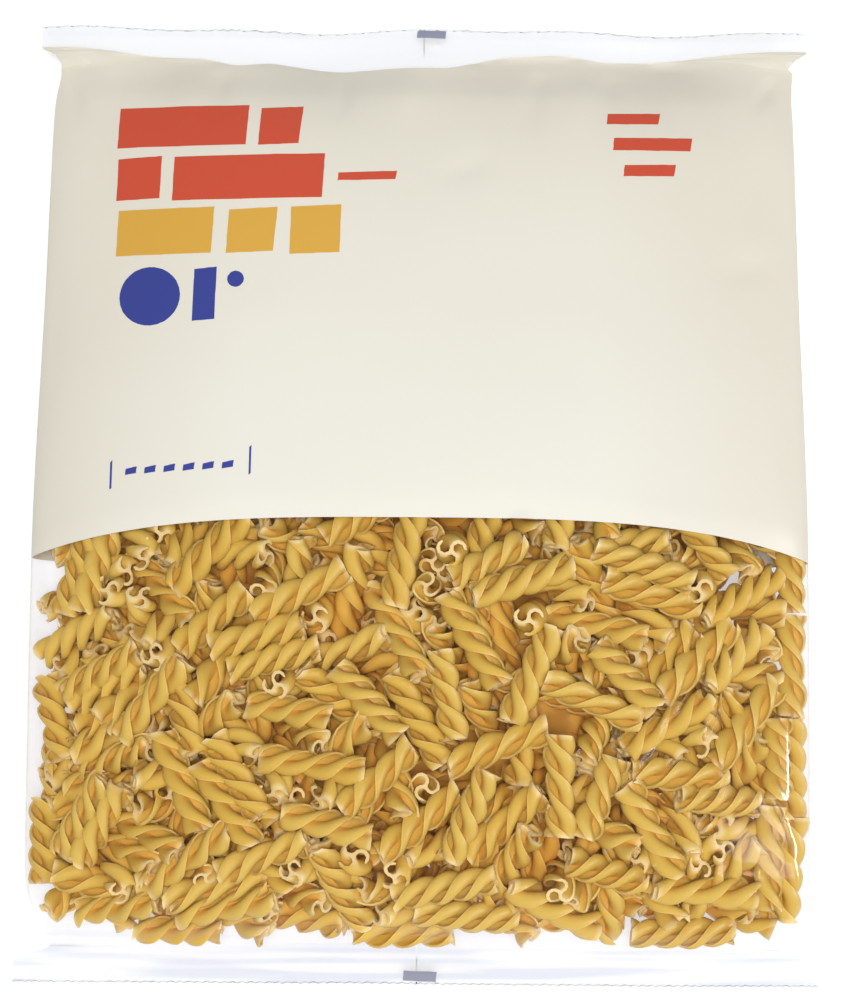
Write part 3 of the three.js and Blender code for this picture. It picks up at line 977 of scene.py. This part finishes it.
# %% [markdown]
# ## Finishes
#
# Every finish is made of nodes that read the object's own coordinates or the numbers kept on its
# points, so it stays on the piece from any side.

# %% Short ways to add the nodes that most finishes need
class Finish:
    """A new material. Its methods add one node each and return that node's output."""

    def __init__(self, name):
        self.material = bpy.data.materials.new(name)
        self.material.use_nodes = True
        self.nodes = self.material.node_tree.nodes
        self.links = self.material.node_tree.links
        self.shader = self.nodes["Principled BSDF"]
        self.place = self.nodes.new("ShaderNodeTexCoord").outputs["Object"]

    def feed(self, target, value):
        """Gives a socket another node's output, a number, or a colour as three numbers."""
        if isinstance(value, bpy.types.NodeSocket):
            self.links.new(value, target)
        elif isinstance(value, tuple):
            target.default_value = (*value, 1) if len(target.default_value) == 4 else value
        else:
            target.default_value = value

    def add(self, kind, settings=(), **inputs):
        node = self.nodes.new("ShaderNode" + kind)
        for name, value in dict(settings).items():
            setattr(node, name, value)
        for name, value in inputs.items():
            self.feed(node.inputs[name.replace("_", " ")], value)
        return node

    def noise(self, scale, detail, roughness, place=None):
        where = self.place if place is None else place
        node = self.add("TexNoise", Scale=scale, Detail=detail, Roughness=roughness, Vector=where)
        return node.outputs["Fac"]

    def number(self, name):
        """A number that is kept on the mesh's points."""
        return self.add("Attribute", {"attribute_name": name}).outputs["Fac"]

    def remap(self, value, start, stop, low=0.0, high=1.0):
        sockets = {"From_Min": start, "From_Max": stop, "To_Min": low, "To_Max": high}
        return self.add("MapRange", Value=value, **sockets).outputs["Result"]

    def sum(self, operation, *values, clamp=False):
        node = self.add("Math", {"operation": operation, "use_clamp": clamp})
        for socket, value in zip(node.inputs, values):
            self.feed(socket, value)
        return node.outputs[0]

    def blend(self, factor, first, second):
        node = self.add("Mix", {"data_type": "RGBA"})
        for name, value in (("Factor", factor), ("A", first), ("B", second)):
            self.feed(node.inputs[name], value)
        return node.outputs["Result"]

    def split(self, vector):
        return self.add("SeparateXYZ", Vector=vector).outputs

    def bump(self, height, strength, distance):
        return self.add("Bump", Strength=strength, Distance=distance, Height=height).outputs["Normal"]

    def coat(self, pieces, **inputs):
        """Sets the shader's inputs and gives the finish to these pieces."""
        for name, value in inputs.items():
            self.feed(self.shader.inputs[name.replace("_", " ")], value)
        for piece in pieces:
            piece.data.materials.append(self.material)


# %% [markdown]
# ** Printed film** is cream ink on the inside of thin plastic, so it has a soft satin gloss over an
# even colour. Clouds of the ink are thinner than the rest. Towards the top and the sides, where the
# film leans away from the light, the colour is painted a little darker and yellower: painted shade.

# %% Printed film
def print_on(piece, name, colour, cloud_and_painted_shade_colour, roughness):
    finish = Finish(name)
    where = finish.split(finish.place)
    cloud = finish.noise(9, 4, 0.55)
    # Painted shade: darker and yellower towards the top, and below towards the sides
    upper = finish.remap(where["Y"], 30 * MM, 155 * MM, 0.0, 0.75)
    painted_shade_at_sides = finish.remap(finish.sum("ABSOLUTE", where["X"]), 60 * MM, 128 * MM, 0.0, 0.8)
    ink_clouds_and_painted_shade = finish.sum("ADD", finish.sum("MULTIPLY_ADD", cloud, 0.4, upper), painted_shade_at_sides, clamp=True)
    finish.coat(
        [piece],
        Base_Color=finish.blend(ink_clouds_and_painted_shade, colour, cloud_and_painted_shade_colour),
        Roughness=finish.remap(finish.noise(420, 2, 0.5), 0.0, 1.0, roughness - 0.05, roughness + 0.07),
        Normal=finish.bump(finish.noise(55, 3, 0.55), 0.12, 0.6 * MM),
        IOR=1.45,
    )


# The second colour of each is where the ink clouds and where the shade is painted
print_on(printed_film, "cream film", (0.80, 0.78, 0.705), (0.735, 0.695, 0.59), 0.42)
print_on(inks["print_red"], "print red", (0.62, 0.09, 0.045), (0.58, 0.08, 0.04), 0.4)
print_on(inks["print_yellow"], "print yellow", (0.69, 0.40, 0.07), (0.66, 0.37, 0.06), 0.4)
print_on(inks["print_blue"], "print blue", (0.045, 0.065, 0.31), (0.04, 0.055, 0.27), 0.4)
print_on(inks["print_grey"], "print grey", (0.30, 0.31, 0.40), (0.27, 0.28, 0.37), 0.4)

# %% [markdown]
# **Clear film** is almost nothing but its reflections. Its faces are far closer together than light
# needs to bend, so it is see-through with a gloss on it that grows towards a grazing view, as on any
# plastic, and a faint cool tint that adds up where several layers lie over each other. The jaws that
# sealed the bottom end left faint streaks along it.

# %% Clear film
clear = Finish("clear film")
clear.nodes.remove(clear.shader)
stretched = clear.add("Mapping", Vector=clear.place, Scale=(9, 150, 9)).outputs[0]
streaks = clear.remap(clear.noise(1.6, 1, 0.6, stretched), 0.47, 0.62)
in_bottom_seal = clear.remap(clear.split(clear.place)["Y"], -146 * MM, -156 * MM)
streaked = clear.sum("MULTIPLY", streaks, in_bottom_seal)
tint = clear.blend(streaked, (0.990, 0.992, 0.998), (0.955, 0.962, 0.982))
see_through = clear.add("BsdfTransparent", Color=tint)
wrinkles = clear.bump(clear.noise(60, 1, 0.6), 0.3, 0.8 * MM)
shine = clear.add("BsdfAnisotropic", Color=(1, 1, 1), Roughness=0.12, Normal=wrinkles)
grazing = clear.sum("POWER", clear.add("LayerWeight", Blend=0.5).outputs["Facing"], 5.0)
film_mix = clear.add("MixShader", Fac=clear.remap(grazing, 0.0, 1.0, 0.012, 0.8))
clear.links.new(see_through.outputs[0], film_mix.inputs[1])
clear.links.new(shine.outputs[0], film_mix.inputs[2])
clear.links.new(film_mix.outputs[0], clear.nodes["Material Output"].inputs["Surface"])
clear_film.data.materials.append(clear.material)

# %% [markdown]
# ** Dry pasta** is pressed durum wheat, golden and smooth. Light that has passed from piece to piece
# turns redder, so the colour is painted redder and darker deep in the heap and in each piece's own
# grooves: painted shade. Thin blades and cut ends look paler and crisper than the body, and no two
# pieces have quite the same tone.

# %% Fusilli
pasta = Finish("durum wheat")
colour = pasta.blend(pasta.number("tone"), (0.685, 0.43, 0.071), (0.715, 0.478, 0.097))
# Painted shade: the deeper a point lies in the heap, the redder and darker it is painted
colour = pasta.blend(pasta.number("depth"), colour, (0.78, 0.38, 0.055))
# Painted shade: points nearer the axis, in the grooves, are painted redder and darker
painted_groove_shade = pasta.remap(pasta.number("blade"), 0.6, 0.2, 0.0, 0.8)
colour = pasta.blend(painted_groove_shade, colour, (0.72, 0.385, 0.06))
rim = pasta.remap(pasta.number("edge"), 0.45, 1.0, 0.0, 0.5)
colour = pasta.blend(rim, colour, (0.84, 0.62, 0.23))
cut_ends = pasta.sum("MULTIPLY", pasta.number("cut"), 0.75)
colour = pasta.blend(cut_ends, colour, (0.90, 0.72, 0.38))
pasta.coat(
    heaps,
    Base_Color=colour,
    Normal=pasta.bump(pasta.noise(700, 0, 0.6), 0.15, 0.25 * MM),
    Roughness=0.46,
)

# %% The shade between the fusilli
shade = Finish("shade between the fusilli")
cells = shade.add("TexVoronoi", {"feature": "SMOOTH_F1"}, Vector=shade.place, Scale=135.0)
lump = shade.remap(cells.outputs["Distance"], 0.25, 0.75, 1.0, 0.0)
shade.coat(
    [core],
    # Painted shade: dark brown between golden lumps that stand for deeper fusilli
    Base_Color=shade.blend(lump, (0.34, 0.13, 0.025), (0.74, 0.38, 0.065)),
    Normal=shade.bump(lump, 0.8, 3 * MM),
    Roughness=0.8,
)

# %% [markdown]
# ## On the model
#
# The packet has no moving parts, so every piece rides on its one body. The films stand for the film
# bag's solid, and the heap with its core stands for the fusilli's.

# %% Tie each piece to the model
films = {"printed_film": printed_film, "clear_film": clear_film}
for name, piece in {**films, **inks}.items():
    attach(piece, "root")
    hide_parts("film_bag")
for piece in heaps + [core]:
    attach(piece, "root")
    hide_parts("fusilli")

# %% [markdown]
# ## Table, light and camera
#
# The photo is a shop's picture: a white table, wide soft light from above, and hardly a shadow. Film
# mirrors whatever lights it, so the wide lights are kept out of its gloss, and only two small lights
# at the right show in it: one as a soft haze and one as thin white lines along the creases.

# %% White table
bpy.ops.object.select_all(action="DESELECT")
bpy.ops.mesh.primitive_plane_add(size=6, location=(0, 0, -0.02 * MM))
table = bpy.context.object
table.name = "table"
white = Finish("white table")
white.coat(
    [table],
    Base_Color=(0.6, 0.6, 0.6),
    Roughness=white.remap(white.noise(30, 2, 0.5), 0.0, 1.0, 0.6, 0.7),
    Emission_Color=(1, 1, 1),
    Emission_Strength=0.46,
)

# %% Wide soft lights
world = bpy.data.worlds.new("studio")
bpy.context.scene.world = world
world.use_nodes = True
nodes, links = world.node_tree.nodes, world.node_tree.links
direction = nodes.new("ShaderNodeTexCoord")
split = nodes.new("ShaderNodeSeparateXYZ")
sky = nodes.new("ShaderNodeMapRange")
for name, value in (("From Min", 0.3), ("From Max", 0.95), ("To Min", 0.4), ("To Max", 0.2)):
    sky.inputs[name].default_value = value
nodes["Background"].inputs["Color"].default_value = (1, 1, 1, 1)
links.new(direction.outputs["Generated"], split.inputs[0])
links.new(split.outputs["Z"], sky.inputs["Value"])
links.new(sky.outputs["Result"], nodes["Background"].inputs["Strength"])

KEY_WATTS = 5
FRONT_WATTS = 16.5


def hang_light(name, place, aim, width, watts):
    bpy.ops.object.light_add(type="AREA", location=place)
    light = bpy.context.object
    light.name = name
    light.data.shape = "SQUARE"
    light.data.size = width
    light.data.energy = watts
    light.rotation_euler = (Vector(aim) - Vector(place)).to_track_quat("-Z", "Y").to_euler()
    return light


for soft_light in (
    hang_light("key", (0.65, -0.75, 1.1), (0, 0, 0), 0.7, KEY_WATTS),
    hang_light("front", (0, -0.2, 1.5), (0, 0, 0), 0.5, FRONT_WATTS),
):
    soft_light.visible_glossy = False

# %% Two small lights that the film mirrors at its lower right
HAZE_AIM = (0.116, -0.125, 0.03)
HAZE_PLACE = (0.886, -0.355, 0.85)
STREAK_PLACE = (1.05, -0.21, 0.45)

haze = hang_light("haze", HAZE_PLACE, HAZE_AIM, 0.3, 1.8)
haze.data.color = (0.9, 0.86, 1.0)
streak = hang_light("streak", STREAK_PLACE, HAZE_AIM, 0.25, 6)
streak.data.shape = "RECTANGLE"
streak.data.size_y = 0.05
for small_light in (haze, streak):
    small_light.visible_diffuse = False

# %% Camera over the packet, tilted a little towards its lower end
CAMERA_DISTANCE = 0.8
CAMERA_TILT = math.radians(7.2)
CAMERA_ROLL = math.radians(0.46)
CAMERA_AIM = (1.6 * MM, -3.0 * MM, 20 * MM)
FOCAL_PIXELS = 2330
PICTURE_WIDTH = 850
SENSOR_WIDTH = 36

camera_data = bpy.data.cameras.new("camera")
camera = bpy.data.objects.new("camera", camera_data)
bpy.context.scene.collection.objects.link(camera)
camera_data.sensor_fit = "HORIZONTAL"
camera_data.sensor_width = SENSOR_WIDTH
camera_data.lens = FOCAL_PIXELS * SENSOR_WIDTH / PICTURE_WIDTH
turn = Matrix.Rotation(CAMERA_TILT, 3, "X") @ Matrix.Rotation(CAMERA_ROLL, 3, "Z")
camera.rotation_euler = turn.to_euler()
backwards = Vector((0, -math.sin(CAMERA_TILT), math.cos(CAMERA_TILT)))
camera.location = Vector(CAMERA_AIM) + backwards * CAMERA_DISTANCE
bpy.context.scene.camera = camera
bpy.context.scene.view_settings.view_transform = "Standard"
